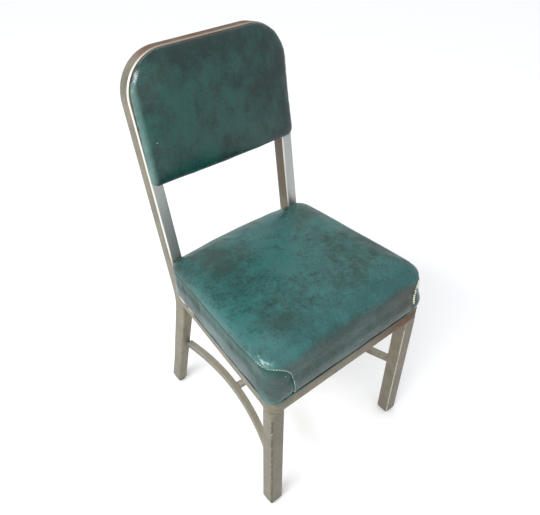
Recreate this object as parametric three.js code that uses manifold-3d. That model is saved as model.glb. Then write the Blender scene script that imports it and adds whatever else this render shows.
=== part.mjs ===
// Upholstered office side chair: a bent hoop back frame, square front legs,
// seat rails, bowed stretchers, a boxed seat cushion and a back pad.
// Millimetres, +Z up, the front of the chair faces -Y, +X to the right seen from the front.
import * as THREE from 'three';
import { mergeVertices } from 'three/addons/utils/BufferGeometryUtils.js';
import Module from 'manifold-3d';

const wasm = await Module();
wasm.setup();

// Fits
const weldGap = 0.3;
const overrun = 4;

// Front legs and seat rails
const frameWidth = 420;
const legSize = 32;
const tubeEdgeRadius = 3;
const legBlendLength = 22;
const railUnderside = 345;
const railHeight = 32;
const railThickness = 25;
const railCornerRadius = 18;
const railInnerCornerRadius = 4;
const railReturnLength = 40;
const railProudOfPost = 2.5;
const railEdgeRadius = 2;
const rearRailSetBack = 6;

// Back frame, one tube bent at the seat and over the top
const bendDepth = 355.6;
const bendHeight = 339.9;
const bendRadius = 248.5;
const backHeight = 894.6;
const backLean = THREE.MathUtils.degToRad(10.56);
const legSplay = THREE.MathUtils.degToRad(11.77);
const hoopHalfWidthTop = 190.5;
const hoopHalfWidthSeat = 178.4;
const hoopHalfWidthFloor = 188.3;
const hoopCornerRadius = 86.8;
const hoopTubeWidth = 27.1;
const hoopTubeWidthFoot = 22.6;
const hoopDepthTop = 33.5;
const hoopDepthSeat = 36.9;
const hoopDepthFoot = 30;
const hoopEdgeRadius = 3.5;

// Stretchers
const stretcherSize = 15.5;
const stretcherUnderside = 170.4;
const stretcherInwardBow = 26.3;
const stretcherRearSetIn = 13.7;
const stretcherEdgeRadius = 1.5;
const crossSize = 14;
const crossDrop = 1;
const crossDepth = 205;

// Glides
const glideHeight = 6;
const glideSetIn = 1;
const glideToeIn = 4;

// Seat board, corner brackets and their screws
const boardThickness = 12;
const boardSetIn = 14;
const boardCornerRadius = 24;
const bracketThickness = 3;
const bracketLeg = 62;
const bracketCornerRadius = 5;
const bracketScrewInset = 19;
const seatScrewRadius = 2.5;
const seatScrewHeadRadius = 5;
const seatScrewHeadHeight = 3;
const seatScrewBite = 9;

// Seat cushion and the welt along its lower edge
const cushionSideOverhang = 5.5;
const cushionRearSideOverhang = 8;
const cushionFrontOverhang = 5;
const cushionPastBend = 26;
const cushionRearBow = 9;
const cushionHeight = 112;
const seatSeamShare = 0.756;
const rearCornerSagShare = 0.5;
const cushionCornerRadius = 26;
const cushionCrownRun = 185;
const weltRadius = 2.6;
const weltPostGap = 1.5;

// Back pad, its board and its screws
const padSideSetIn = 6.5;
const padTopSetIn = 4.5;
const padLength = 252.5;
const padBottomBow = 5;
const padThickness = 25;
const padBottomCornerRadius = 16;
const padCrownRun = 120;
const backBoardThickness = 6;
const backBoardSetIn = 9;
const backScrewRadius = 2.3;
const backScrewHeadRadius = 4.6;
const backScrewHeadHeight = 2.6;
const backScrewBite = 4.5;
const backScrewSetIn = 19;
const upperScrewBelowBow = 25;
const lowerScrewAbovePadEnd = 35;

// Sizes that follow from the ones above
const railTop = railUnderside + railHeight;
const frontLegAxis = (frameWidth - legSize) / 2;
const legTop = railUnderside;
const arcAngle = backLean + legSplay;
const arcTangent = bendRadius * Math.tan(arcAngle / 2);
const uprightLength = (backHeight - bendHeight) / Math.cos(backLean) - arcTangent;
const arcLength = bendRadius * arcAngle;
const cushionBase = railTop + weldGap;
const cushionRear = bendDepth + cushionPastBend;
const padHalfWidth = hoopHalfWidthTop - padSideSetIn;
const seatBoardBase = railTop;
const weltHeight = 2 * weltRadius;

// Materials
const frameMetal = new THREE.MeshStandardMaterial({ color: 0xa39c8c, roughness: 0.38, metalness: 0.9 });
const greenVinyl = new THREE.MeshStandardMaterial({ color: 0x2f6a60, roughness: 0.42, metalness: 0 });
const weltVinyl = new THREE.MeshStandardMaterial({ color: 0x3f7d74, roughness: 0.45, metalness: 0 });
const plywood = new THREE.MeshStandardMaterial({ color: 0xb08d5e, roughness: 0.8, metalness: 0 });
const darkRubber = new THREE.MeshStandardMaterial({ color: 0x3a352f, roughness: 0.8, metalness: 0 });
const zincSteel = new THREE.MeshStandardMaterial({ color: 0xb4b6b8, roughness: 0.35, metalness: 1 });

const chair = new THREE.Group();

function addPiece(name, geometry, material) {
  const mesh = new THREE.Mesh(geometry, material);
  mesh.name = name;
  chair.add(mesh);
}

// Closed triangle meshes to solids and back, for the cuts below.
function solidOf(geometry) {
  const bare = geometry.clone();
  bare.deleteAttribute('normal');
  bare.deleteAttribute('uv');
  const merged = mergeVertices(bare);
  const vertProperties = new Float32Array(merged.attributes.position.array);
  const triVerts = new Uint32Array(merged.index.array);
  return new wasm.Manifold(new wasm.Mesh({ numProp: 3, vertProperties, triVerts }));
}

function geometryOf(solid) {
  const mesh = solid.getMesh();
  const geometry = new THREE.BufferGeometry();
  geometry.setAttribute('position', new THREE.BufferAttribute(mesh.vertProperties, 3));
  geometry.setIndex(new THREE.BufferAttribute(mesh.triVerts, 1));
  geometry.computeVertexNormals();
  return geometry;
}

function cutBy(geometry, tools) {
  let solid = solidOf(geometry);
  for (const tool of tools) {
    solid = solid.subtract(solidOf(tool));
  }
  return geometryOf(solid);
}

// Skins rings of points, all of one count, into a closed body with a fan at each end.
function loft(rings) {
  const count = rings[0].length;
  const points = rings.flat();
  const triangles = [];
  for (let ring = 0; ring < rings.length - 1; ring += 1) {
    for (let step = 0; step < count; step += 1) {
      const a = ring * count + step;
      const b = ring * count + (step + 1) % count;
      triangles.push(a, b, b + count, a, b + count, a + count);
    }
  }
  for (const end of [0, rings.length - 1]) {
    const centre = new THREE.Vector3();
    rings[end].forEach((point) => centre.add(point));
    points.push(centre.divideScalar(count));
    for (let step = 0; step < count; step += 1) {
      const a = end * count + step;
      const b = end * count + (step + 1) % count;
      const fan = end === 0 ? [points.length - 1, b, a] : [points.length - 1, a, b];
      triangles.push(...fan);
    }
  }
  const geometry = new THREE.BufferGeometry().setFromPoints(points);
  geometry.setIndex(triangles);
  if (signedVolume(points, triangles) < 0) {
    triangles.reverse();
    geometry.setIndex(triangles);
  }
  geometry.computeVertexNormals();
  return geometry;
}

function signedVolume(points, triangles) {
  let volume = 0;
  const normal = new THREE.Vector3();
  for (let i = 0; i < triangles.length; i += 3) {
    normal.crossVectors(points[triangles[i + 1]], points[triangles[i + 2]]);
    volume += points[triangles[i]].dot(normal) / 6;
  }
  return volume;
}

// Points round a polygon whose corners, each { at, radius }, are rounded by arcs.
// A corner of no radius stays a single point.
function roundedOutline(corners, cornerSteps, sideSteps) {
  const arcs = corners.map((corner, index) => {
    if (corner.radius === 0) {
      return [corner.at];
    }
    const before = corners[(index + corners.length - 1) % corners.length].at;
    const after = corners[(index + 1) % corners.length].at;
    const toBefore = before.clone().sub(corner.at).normalize();
    const toAfter = after.clone().sub(corner.at).normalize();
    const half = Math.acos(toBefore.dot(toAfter)) / 2;
    const tangent = corner.radius / Math.tan(half);
    const middle = toBefore.clone().add(toAfter).normalize();
    const centre = corner.at.clone().addScaledVector(middle, corner.radius / Math.sin(half));
    const start = corner.at.clone().addScaledVector(toBefore, tangent).sub(centre);
    const end = corner.at.clone().addScaledVector(toAfter, tangent).sub(centre);
    const turn = Math.atan2(start.cross(end), start.dot(end));
    const arc = [];
    for (let step = 0; step <= cornerSteps; step += 1) {
      const arm = start.clone().rotateAround(new THREE.Vector2(), turn * step / cornerSteps);
      arc.push(centre.clone().add(arm));
    }
    return arc;
  });
  return arcs.flatMap((arc, index) => {
    const next = arcs[(index + 1) % arcs.length][0];
    const side = [];
    for (let step = 1; step < sideSteps; step += 1) {
      side.push(arc.at(-1).clone().lerp(next, step / sideSteps));
    }
    return [...arc, ...side];
  });
}

// An upright prism over an outline in plan, its long edges eased.
function barOverPlan(outline, base, height, edge) {
  const geometry = new THREE.ExtrudeGeometry(new THREE.Shape(outline), {
    depth: height - 2 * edge,
    bevelEnabled: edge > 0,
    bevelThickness: edge,
    bevelSize: edge,
    bevelOffset: -edge,
    bevelSegments: 1,
    steps: 1,
  });
  geometry.translate(0, 0, base + edge);
  return geometry;
}

function plainCylinder(radius, from, to) {
  const axis = to.clone().sub(from);
  const geometry = new THREE.CylinderGeometry(radius, radius, axis.length(), 16);
  const turn = new THREE.Quaternion().setFromUnitVectors(new THREE.Vector3(0, 1, 0), axis.clone().normalize());
  geometry.applyQuaternion(turn);
  geometry.translate(...from.clone().add(to).divideScalar(2).toArray());
  return geometry;
}

// A pan-head screw turned about its axis, the head's seat at the origin and the shank along +Y.
function panHeadScrew(shankRadius, headRadius, headHeight, shankLength) {
  const profile = [
    new THREE.Vector2(0, -headHeight),
    new THREE.Vector2(headRadius * 0.6, -headHeight),
    new THREE.Vector2(headRadius, -headHeight * 0.4),
    new THREE.Vector2(headRadius, 0),
    new THREE.Vector2(shankRadius, 0),
    new THREE.Vector2(shankRadius, shankLength - shankRadius),
    new THREE.Vector2(0, shankLength),
  ];
  return new THREE.LatheGeometry(profile, 16);
}

// The front face of the back frame in side view: a straight upright, an arc behind
// the seat and a straight rear leg. Drop is measured down that face from the top edge.
function faceAt(drop) {
  const top = new THREE.Vector2(bendDepth + (backHeight - bendHeight) * Math.tan(backLean), backHeight);
  const arcDrop = THREE.MathUtils.clamp(drop - uprightLength, 0, arcLength);
  const heading = -backLean + arcDrop / bendRadius;
  const point = top.clone();
  point.x -= Math.sin(backLean) * Math.min(drop, uprightLength);
  point.y -= Math.cos(backLean) * Math.min(drop, uprightLength);
  point.x += bendRadius * (Math.cos(backLean) - Math.cos(heading));
  point.y -= bendRadius * (Math.sin(backLean) + Math.sin(heading));
  const legDrop = Math.max(drop - uprightLength - arcLength, 0);
  point.x += Math.sin(legSplay) * legDrop;
  point.y -= Math.cos(legSplay) * legDrop;
  return { depth: point.x, height: point.y, heading };
}

// A point beside the back frame: across the chair, down its front face, and behind that face.
function onFrame(across, drop, behind) {
  const face = faceAt(drop);
  const y = face.depth + behind * Math.cos(face.heading);
  const z = face.height + behind * Math.sin(face.heading);
  return new THREE.Vector3(across, y, z);
}

function hoopSizesAt(height) {
  if (height > bendHeight) {
    const share = Math.min((height - bendHeight) / (backHeight - bendHeight), 1);
    return {
      halfWidth: THREE.MathUtils.lerp(hoopHalfWidthSeat, hoopHalfWidthTop, share),
      width: hoopTubeWidth,
      depth: THREE.MathUtils.lerp(hoopDepthSeat, hoopDepthTop, share),
    };
  }
  const share = Math.max(height / bendHeight, 0);
  return {
    halfWidth: THREE.MathUtils.lerp(hoopHalfWidthFloor, hoopHalfWidthSeat, share),
    width: THREE.MathUtils.lerp(hoopTubeWidthFoot, hoopTubeWidth, share),
    depth: THREE.MathUtils.lerp(hoopDepthFoot, hoopDepthSeat, share),
  };
}

// One section of the back frame: the outer and inner edge in its own plane, rounded corners.
function hoopSection(outer, inner, depth, growth) {
  const along = inner.clone().sub(outer);
  const width = along.length();
  along.normalize();
  const corners = [
    [-growth, -growth],
    [width + growth, -growth],
    [width + growth, depth + growth],
    [-growth, depth + growth],
  ];
  const section = roundedOutline(corners.map(([u, v]) => ({
    at: new THREE.Vector2(u, v),
    radius: hoopEdgeRadius + growth,
  })), 2, 1);
  return section.map((point) => {
    const place = outer.clone().addScaledVector(along, point.x);
    return onFrame(place.x, place.y, point.y);
  });
}

function dropOfHeight(height) {
  const legHeight = faceAt(uprightLength + arcLength).height;
  if (height < legHeight) {
    return uprightLength + arcLength + (legHeight - height) / Math.cos(legSplay);
  }
  return (backHeight - height) / Math.cos(backLean);
}

// Stations round the bend behind the seat and down the rear leg.
function hoopDrops() {
  const bendSteps = 7;
  const drops = [];
  for (let step = 0; step <= bendSteps; step += 1) {
    drops.push(uprightLength + arcLength * step / bendSteps);
  }
  drops.push(dropOfHeight(glideHeight + overrun));
  return drops;
}

// Sections run down one side only; the other side is its mirror image.
function hoopSideSections(growth) {
  const sections = [];
  const cornerHalfWidth = hoopSizesAt(faceAt(hoopCornerRadius).height).halfWidth;
  const cornerCentre = new THREE.Vector2(cornerHalfWidth - hoopCornerRadius, hoopCornerRadius);
  const cornerSteps = 8;
  for (let step = 0; step <= cornerSteps; step += 1) {
    const angle = Math.PI / 2 * (1 - step / cornerSteps);
    const ray = new THREE.Vector2(Math.cos(angle), -Math.sin(angle));
    const outer = cornerCentre.clone().addScaledVector(ray, hoopCornerRadius);
    const inner = cornerCentre.clone().addScaledVector(ray, hoopCornerRadius - hoopTubeWidth);
    sections.push(hoopSection(outer, inner, hoopDepthTop, growth));
  }
  for (const drop of hoopDrops()) {
    const sizes = hoopSizesAt(faceAt(drop).height);
    const outer = new THREE.Vector2(sizes.halfWidth, drop);
    const inner = new THREE.Vector2(sizes.halfWidth - sizes.width, drop);
    sections.push(hoopSection(outer, inner, sizes.depth, growth));
  }
  sections.push(footSection(sections.at(-1), growth > 0 ? -overrun : glideHeight));
  return sections;
}

// The last section slides down the rear leg's slope on to a level plane.
function footSection(section, level) {
  return section.map((point) => {
    const fall = point.z - level;
    return new THREE.Vector3(point.x, point.y + fall * Math.tan(legSplay), level);
  });
}

function mirrored(ring) {
  return ring.map((point) => new THREE.Vector3(-point.x, point.y, point.z));
}

function hoopGeometry(growth) {
  const side = hoopSideSections(growth);
  const otherSide = side.map(mirrored).reverse();
  return loft([...otherSide, ...side]);
}

const hoopClearance = hoopGeometry(weldGap);

// Everything behind the back frame's front face, so that rails and stretchers butt on it.
function behindFrontFace() {
  const rings = hoopDrops().map((drop) => [
    onFrame(-frameWidth, drop, -weldGap),
    onFrame(frameWidth, drop, -weldGap),
    onFrame(frameWidth, drop, 2 * hoopDepthSeat),
    onFrame(-frameWidth, drop, 2 * hoopDepthSeat),
  ]);
  return loft(rings);
}

function backScrewPlaces() {
  const places = [];
  for (const side of [-1, 1]) {
    const drops = [hoopCornerRadius + upperScrewBelowBow, padTopSetIn + padLength - lowerScrewAbovePadEnd];
    drops.forEach((drop, row) => {
      const sizes = hoopSizesAt(faceAt(drop).height);
      const across = side * (sizes.halfWidth - backScrewSetIn);
      places.push({
        name: `${side < 0 ? 'left' : 'right'}_${row === 0 ? 'upper' : 'lower'}`,
        seat: onFrame(across, drop, sizes.depth + weldGap),
        tip: onFrame(across, drop, -backScrewBite),
      });
    });
  }
  return places;
}

function screwHole({ seat, tip }, radius, lengthen) {
  const along = tip.clone().sub(seat).normalize();
  const from = seat.clone().addScaledVector(along, -overrun);
  const to = tip.clone().addScaledVector(along, lengthen);
  return plainCylinder(radius + weldGap, from, to);
}

function placeScrew(name, { seat, tip }, shankRadius, headRadius, headHeight) {
  const axis = tip.clone().sub(seat);
  const screw = panHeadScrew(shankRadius, headRadius, headHeight, axis.length());
  const turn = new THREE.Quaternion().setFromUnitVectors(new THREE.Vector3(0, 1, 0), axis.normalize());
  screw.applyQuaternion(turn);
  screw.translate(...seat.toArray());
  addPiece(name, screw, zincSteel);
}

function addBackFrame() {
  const holes = backScrewPlaces().map((place) => screwHole(place, backScrewRadius, overrun));
  addPiece('back_frame', cutBy(hoopGeometry(0), holes), frameMetal);
}

// Plan of a front leg or its glide about the leg's axis. The first corner is the outer front one.
function legOutline(side, setIn, firstRadius) {
  const reach = legSize / 2 - setIn;
  const corners = [[reach, -reach], [reach, reach], [-reach, reach], [-reach, -reach]];
  const outline = roundedOutline(corners.map(([x, y], index) => ({
    at: new THREE.Vector2(x, y),
    radius: index === 0 ? firstRadius : tubeEdgeRadius,
  })), 6, 1);
  return outline.map((point) => new THREE.Vector2(side * point.x, point.y));
}

// A front leg's outer corner is dressed round at the top to meet the rail's corner.
function addFrontLegs() {
  for (const [name, side] of [['left', -1], ['right', 1]]) {
    const ringAt = (setIn, firstRadius, level) => (
      levelRing(legOutline(side, setIn, firstRadius), side * frontLegAxis, legSize / 2, level)
    );
    const leg = loft([
      ringAt(0, tubeEdgeRadius, glideHeight),
      ringAt(0, tubeEdgeRadius, legTop - legBlendLength),
      ringAt(0, railCornerRadius, legTop),
    ]);
    addPiece(`front_${name}_leg`, leg, frameMetal);
    const glide = loft([
      ringAt(glideToeIn, tubeEdgeRadius, 0),
      ringAt(glideSetIn, tubeEdgeRadius, glideHeight / 2),
      ringAt(glideSetIn, tubeEdgeRadius, glideHeight),
    ]);
    addPiece(`front_${name}_glide`, glide, darkRubber);
  }
}

function levelRing(outline, x, y, z) {
  return outline.map((point) => new THREE.Vector3(point.x + x, point.y + y, z));
}

// Rear glides follow the leg's own foot section.
function addRearGlides() {
  const foot = hoopSideSections(0).at(-1);
  const centre = foot.reduce((sum, point) => sum.add(point), new THREE.Vector3()).divideScalar(foot.length);
  const drawnIn = (setIn, level) => foot.map((point) => {
    const reach = point.clone().sub(centre);
    const shrunk = reach.length() - setIn;
    return centre.clone().add(reach.setLength(shrunk)).setZ(level);
  });
  const glide = [drawnIn(glideToeIn, 0), drawnIn(glideSetIn, glideHeight / 2), drawnIn(glideSetIn, glideHeight)];
  addPiece('rear_right_glide', loft(glide), darkRubber);
  addPiece('rear_left_glide', loft(glide.map(mirrored)), darkRubber);
}

// The rails' outer faces taper from the front corners to just outside the posts.
function railOuterHalfWidth(depth) {
  const rearHalfWidth = hoopHalfWidthSeat + railProudOfPost;
  return THREE.MathUtils.lerp(frameWidth / 2, rearHalfWidth, depth / bendDepth);
}

function addFrontRail() {
  const outerEnd = railOuterHalfWidth(railReturnLength);
  const innerEnd = outerEnd - railThickness;
  const innerFront = railOuterHalfWidth(railThickness) - railThickness;
  const corners = [
    [-frameWidth / 2, 0, railCornerRadius],
    [frameWidth / 2, 0, railCornerRadius],
    [outerEnd, railReturnLength, 0],
    [innerEnd, railReturnLength, 0],
    [innerFront, railThickness, railInnerCornerRadius],
    [-innerFront, railThickness, railInnerCornerRadius],
    [-innerEnd, railReturnLength, 0],
    [-outerEnd, railReturnLength, 0],
  ];
  const outline = roundedOutline(corners.map(([x, y, radius]) => ({
    at: new THREE.Vector2(x, y),
    radius,
  })), 6, 1);
  addPiece('front_rail', barOverPlan(outline, railUnderside, railHeight, railEdgeRadius), frameMetal);
}

function addSideRails() {
  const start = railReturnLength + weldGap;
  const end = bendDepth + hoopDepthSeat / 2;
  for (const [name, side] of [['left', -1], ['right', 1]]) {
    const outline = [
      new THREE.Vector2(side * railOuterHalfWidth(start), start),
      new THREE.Vector2(side * railOuterHalfWidth(end), end),
      new THREE.Vector2(side * (railOuterHalfWidth(end) - railThickness), end),
      new THREE.Vector2(side * (railOuterHalfWidth(start) - railThickness), start),
    ];
    const bar = barOverPlan(outline, railUnderside, railHeight, railEdgeRadius);
    addPiece(`${name}_side_rail`, cutBy(bar, [behindFrontFace()]), frameMetal);
  }
}

// A piece cut through by a post keeps only its main body.
function largestBody(geometry) {
  const bodies = solidOf(geometry).decompose();
  bodies.sort((a, b) => b.volume() - a.volume());
  return geometryOf(bodies[0]);
}

function rearRailFront() {
  return faceAt(uprightLength + arcLength / 2).depth + rearRailSetBack;
}

function addRearRail() {
  const front = rearRailFront();
  const reach = hoopHalfWidthSeat;
  const outline = [
    new THREE.Vector2(-reach, front),
    new THREE.Vector2(reach, front),
    new THREE.Vector2(reach, front + railThickness),
    new THREE.Vector2(-reach, front + railThickness),
  ];
  const bar = barOverPlan(outline, railUnderside, railHeight, railEdgeRadius);
  addPiece('rear_rail', largestBody(cutBy(bar, [hoopClearance])), frameMetal);
}

// Centre line of a side stretcher in plan, as distance from the chair's middle plane.
function stretcherCurve() {
  const front = legSize + weldGap;
  const midHeight = stretcherUnderside + stretcherSize / 2;
  const rear = faceAt(dropOfHeight(midHeight)).depth;
  const rearHalf = hoopSizesAt(midHeight).halfWidth - stretcherRearSetIn - stretcherSize / 2;
  const control = new THREE.Vector2((frontLegAxis + rearHalf) / 2 - 2 * stretcherInwardBow, (front + rear) / 2);
  return new THREE.QuadraticBezierCurve(
    new THREE.Vector2(frontLegAxis, front),
    control,
    new THREE.Vector2(rearHalf, rear),
  );
}

function stretcherHalfWidthAt(depth) {
  const curve = stretcherCurve();
  const share = (depth - curve.v0.y) / (curve.v2.y - curve.v0.y);
  return curve.getPoint(share).x;
}

function addSideStretchers() {
  const centres = stretcherCurve().getPoints(18);
  const offset = (distance) => centres.map((point) => new THREE.Vector2(point.x + distance, point.y));
  const past = new THREE.Vector2(0, hoopDepthFoot / 2);
  const outer = offset(stretcherSize / 2);
  const inner = offset(-stretcherSize / 2);
  outer.push(outer.at(-1).clone().add(past));
  inner.push(inner.at(-1).clone().add(past));
  for (const [name, side] of [['left', -1], ['right', 1]]) {
    const outline = [...outer, ...inner.reverse()].map((point) => new THREE.Vector2(side * point.x, point.y));
    inner.reverse();
    const bar = barOverPlan(outline, stretcherUnderside, stretcherSize, stretcherEdgeRadius);
    addPiece(`${name}_side_stretcher`, cutBy(bar, [behindFrontFace()]), frameMetal);
  }
}

function addCrossStretcher() {
  const front = crossDepth - crossSize / 2;
  const rear = crossDepth + crossSize / 2;
  const reachAt = (depth) => stretcherHalfWidthAt(depth) - stretcherSize / 2 - weldGap;
  const outline = [
    new THREE.Vector2(-reachAt(front), front),
    new THREE.Vector2(reachAt(front), front),
    new THREE.Vector2(reachAt(rear), rear),
    new THREE.Vector2(-reachAt(rear), rear),
  ];
  const base = stretcherUnderside + stretcherSize - crossDrop - crossSize;
  addPiece('cross_stretcher', barOverPlan(outline, base, crossSize, stretcherEdgeRadius), frameMetal);
}

// Corner brackets, flat gussets inside the rail corners with their tops flush with the rails.
function bracketPlaces() {
  const frontCorner = railThickness + weldGap;
  const rearCorner = rearRailFront() - weldGap;
  const places = [];
  for (const [end, corner, inward] of [['front', frontCorner, 1], ['rear', rearCorner, -1]]) {
    for (const [name, side] of [['left', -1], ['right', 1]]) {
      const wall = (depth) => side * (railOuterHalfWidth(depth) - railThickness - 2 * weldGap);
      const along = corner + inward * bracketLeg;
      places.push({
        name: `${end}_${name}`,
        outline: [
          new THREE.Vector2(wall(corner), corner),
          new THREE.Vector2(wall(corner) - side * bracketLeg, corner),
          new THREE.Vector2(wall(along), along),
        ],
        screw: new THREE.Vector2(
          wall(corner) - side * bracketScrewInset,
          corner + inward * bracketScrewInset,
        ),
      });
    }
  }
  return places;
}

function seatScrewPlace({ screw }) {
  const seatLevel = railTop - bracketThickness - weldGap;
  return {
    seat: new THREE.Vector3(screw.x, screw.y, seatLevel),
    tip: new THREE.Vector3(screw.x, screw.y, railTop + seatScrewBite),
  };
}

function addBracketsAndSeatScrews() {
  for (const place of bracketPlaces()) {
    const corners = place.outline.map((at) => ({ at, radius: bracketCornerRadius }));
    const plate = barOverPlan(roundedOutline(corners, 3, 1), railTop - bracketThickness, bracketThickness, 0);
    const hole = screwHole(seatScrewPlace(place), seatScrewRadius, overrun);
    addPiece(`${place.name}_bracket`, cutBy(plate, [hole, hoopClearance]), frameMetal);
    placeScrew(
      `${place.name}_seat_screw`,
      seatScrewPlace(place),
      seatScrewRadius,
      seatScrewHeadRadius,
      seatScrewHeadHeight,
    );
  }
}

// Plan outline of the seat, drawn in from its full size at each edge. The
// middle of the rear edge bows back between the posts.
function seatOutline(sideIn, frontIn, rearIn, frontRadius, rearRadius, cornerSteps, sideSteps) {
  const front = -cushionFrontOverhang;
  const rear = cushionRear;
  const frontHalfWidth = frameWidth / 2 + cushionSideOverhang;
  const rearHalfWidth = railOuterHalfWidth(rear) + cushionRearSideOverhang;
  const halfWidth = (depth) => (
    THREE.MathUtils.mapLinear(depth, front, rear, frontHalfWidth, rearHalfWidth) - sideIn
  );
  const corners = [
    [-halfWidth(front + frontIn), front + frontIn, frontRadius],
    [halfWidth(front + frontIn), front + frontIn, frontRadius],
    [halfWidth(rear - rearIn), rear - rearIn, rearRadius],
    [-halfWidth(rear - rearIn), rear - rearIn, rearRadius],
  ];
  const outline = roundedOutline(corners.map(([x, y, radius]) => ({
    at: new THREE.Vector2(x, y),
    radius,
  })), cornerSteps, sideSteps);
  return outline.map((point) => {
    const share = (point.y - front) / (rear - front);
    const side = point.x / halfWidth(point.y);
    return new THREE.Vector2(point.x, point.y + cushionRearBow * share * (1 - side * side));
  });
}

function seatBoardGeometry(growth) {
  const setIn = boardSetIn - growth;
  const outline = seatOutline(setIn, setIn, setIn, boardCornerRadius, boardCornerRadius, 6, 1);
  const below = growth > 0 ? overrun : 0;
  return barOverPlan(outline, seatBoardBase - below, boardThickness + below + growth, 0);
}

function addSeatBoard() {
  const holes = bracketPlaces().map((place) => screwHole(seatScrewPlace(place), seatScrewRadius, weldGap));
  addPiece('seat_board', cutBy(seatBoardGeometry(0), [hoopClearance, ...holes]), plywood);
}

// Cushion rings from the underside up: height as a share of the cushion's height, how far
// the side, front and rear are drawn in, as shares of the crown's run, and the radius of the
// front corners as a share of the corner radius at the welt.
const seatRingShares = [
  [0.060, 0.010, 0.008, 0.020, 0.85],
  [0.113, 0.000, 0.000, 0.010, 0.85],
  [0.247, -0.008, -0.006, 0.000, 1.00],
  [0.426, -0.014, -0.008, -0.004, 1.20],
  [0.604, -0.018, -0.006, -0.004, 1.35],
  [0.694, -0.020, -0.001, -0.002, 1.40],
  [0.756, -0.019, 0.006, 0.004, 1.40],
  [0.828, -0.014, 0.020, 0.020, 1.40],
  [0.890, -0.002, 0.045, 0.060, 1.40],
  [0.935, 0.018, 0.085, 0.140, 1.35],
  [0.965, 0.050, 0.150, 0.280, 1.25],
  [0.982, 0.110, 0.240, 0.420, 1.10],
  [0.993, 0.230, 0.380, 0.560, 0.90],
  [0.998, 0.480, 0.590, 0.720, 0.60],
  [1.000, 0.850, 0.870, 0.880, 0.30],
];

function cushionGeometry() {
  const rebate = weltHeight + 2 * weldGap;
  const rim = cushionBase + rebate;
  const ringAt = (sideIn, frontIn, rearIn, cornerShare, height) => {
    const frontRadius = cushionCornerRadius * cornerShare;
    const rearRadius = cushionCornerRadius * Math.min(cornerShare, 1);
    return levelRing(seatOutline(sideIn, frontIn, rearIn, frontRadius, rearRadius, 8, 4), 0, 0, height);
  };
  const rings = [
    ringAt(rebate, rebate, rebate, 1, cushionBase),
    ringAt(rebate, rebate, rebate, 1, rim - weldGap),
  ];
  for (const [heightShare, sideShare, frontShare, rearShare, cornerShare] of seatRingShares) {
    const height = cushionBase + cushionHeight * heightShare;
    const run = cushionCrownRun;
    const ring = ringAt(sideShare * run, frontShare * run, rearShare * run, cornerShare, height);
    rings.push(ring.map(sagAtRearCorner));
  }
  return loft(rings);
}

// Above the seam the padding is lower towards the seat's rear corners.
function sagAtRearCorner(point) {
  const seam = cushionBase + cushionHeight * seatSeamShare;
  const across = Math.abs(point.x) / (frameWidth / 2);
  const along = Math.max(point.y / cushionRear, 0);
  const towardsCorner = (across * along) ** 4;
  const above = Math.max(point.z - seam, 0);
  return point.clone().setZ(point.z - above * rearCornerSagShare * towardsCorner);
}

function addCushion() {
  const tools = [seatBoardGeometry(weldGap), hoopClearance];
  addPiece('seat_cushion', largestBody(cutBy(cushionGeometry(), tools)), greenVinyl);
}

// The welt runs from post to post round the sides and front, in the rebate under the cushion.
function weltPath() {
  const reach = weltRadius + weldGap;
  const radius = cushionCornerRadius - reach;
  const outline = seatOutline(reach, reach, reach, radius, radius, 8, 12);
  const rearLimit = faceAt(uprightLength).depth - weltPostGap - weltRadius;
  const front = outline.filter((point) => point.y < rearLimit);
  const gap = front.findIndex((point, index) => {
    const next = front[(index + 1) % front.length];
    return point.distanceTo(next) > frameWidth / 2 && point.y > frameWidth / 2;
  });
  const ordered = [...front.slice(gap + 1), ...front.slice(0, gap + 1)];
  const level = cushionBase + weldGap + weltRadius;
  return ordered.map((point) => new THREE.Vector3(point.x, point.y, level));
}

function addWelt() {
  const path = weltPath();
  const rings = path.map((point, index) => {
    const before = path[Math.max(index - 1, 0)];
    const after = path[Math.min(index + 1, path.length - 1)];
    const heading = after.clone().sub(before).normalize();
    const across = new THREE.Vector3(0, 0, 1).cross(heading);
    const ring = [];
    for (let step = 0; step < 8; step += 1) {
      const angle = 2 * Math.PI * step / 8;
      const place = point.clone().addScaledVector(across, weltRadius * Math.cos(angle));
      place.z += weltRadius * Math.sin(angle);
      ring.push(place);
    }
    return ring;
  });
  addPiece('seat_welt', loft(rings), weltVinyl);
}

// Outline of the back pad on the frame's front face: across, and down from the top edge.
function padOutline(setIn, cornerSteps, sideSteps) {
  const top = padTopSetIn + setIn;
  const bottom = padTopSetIn + padLength - setIn;
  const reach = padHalfWidth - setIn;
  const topRadius = Math.max(hoopCornerRadius - padSideSetIn - setIn, padBottomCornerRadius);
  const bottomRadius = Math.max(padBottomCornerRadius - setIn / 4, padBottomCornerRadius / 4);
  const corners = [
    [-reach, top, topRadius],
    [reach, top, topRadius],
    [reach, bottom, bottomRadius],
    [-reach, bottom, bottomRadius],
  ];
  const outline = roundedOutline(corners.map(([x, y, radius]) => ({
    at: new THREE.Vector2(x, y),
    radius,
  })), cornerSteps, sideSteps);
  return outline.map((point) => {
    const side = point.x / padHalfWidth;
    const share = point.y / (padTopSetIn + padLength);
    return new THREE.Vector2(point.x, point.y + padBottomBow * share * share * (1 - side * side));
  });
}

// Pad rings from the frame forward: thickness, then how far the edge is drawn in.
const padRingShares = [
  [0.000, 0.012],
  [0.100, 0.000],
  [0.240, 0.008],
  [0.400, 0.033],
  [0.540, 0.075],
  [0.640, 0.125],
  [0.740, 0.215],
  [0.840, 0.360],
  [0.930, 0.560],
  [0.985, 0.780],
  [1.000, 0.930],
];

function padRing(setIn, forward, cornerSteps, sideSteps) {
  return padOutline(setIn, cornerSteps, sideSteps).map((point) => onFrame(point.x, point.y, -forward));
}

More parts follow.
